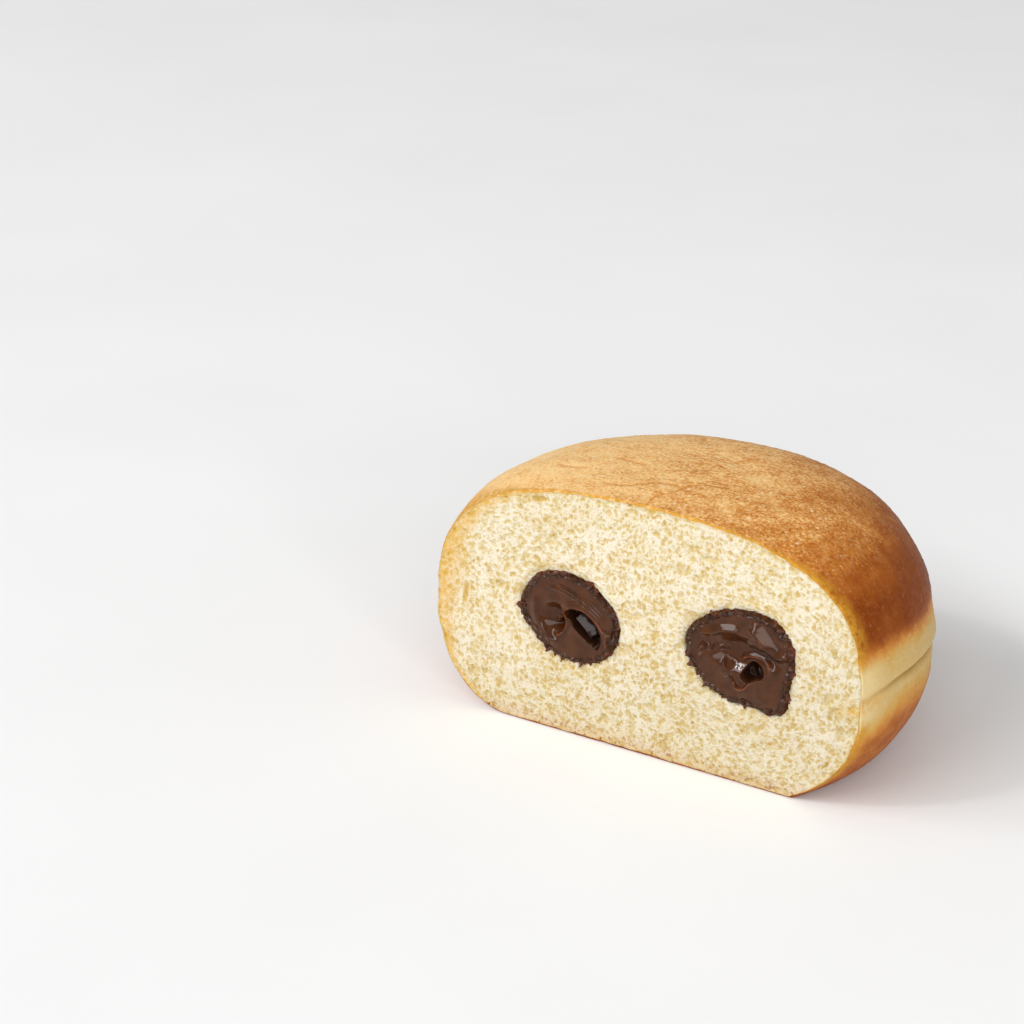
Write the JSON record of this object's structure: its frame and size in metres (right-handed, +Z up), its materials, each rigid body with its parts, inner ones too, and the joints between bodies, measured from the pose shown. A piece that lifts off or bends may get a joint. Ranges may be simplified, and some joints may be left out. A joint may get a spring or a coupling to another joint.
{
  "type": "chocolate filled doughnut cut open",
  "caption": "Filled yeast doughnut, cut off centre: browned crust with a pale belt, open crumb, and chocolate filling pockets in the cut face.",
  "frame": {"origin": "on the surface it stands on, below the middle of its bounding box", "axes": "+Z up; +X along the cut, to the right as seen from the cut; -Y out of the cut face, towards the viewer"},
  "size_m": [0.0806, 0.0528, 0.0432],
  "materials": {
    "crust": "matte to satin fried crust, golden brown with a pale belt",
    "crumb": "matte, open crumb",
    "chocolate": "glossy, smooth paste"
  },
  "bodies": {
    "root": {"dough": "crust", "filling_left": "chocolate", "filling_right": "chocolate"}
  },
  "joints": []
}
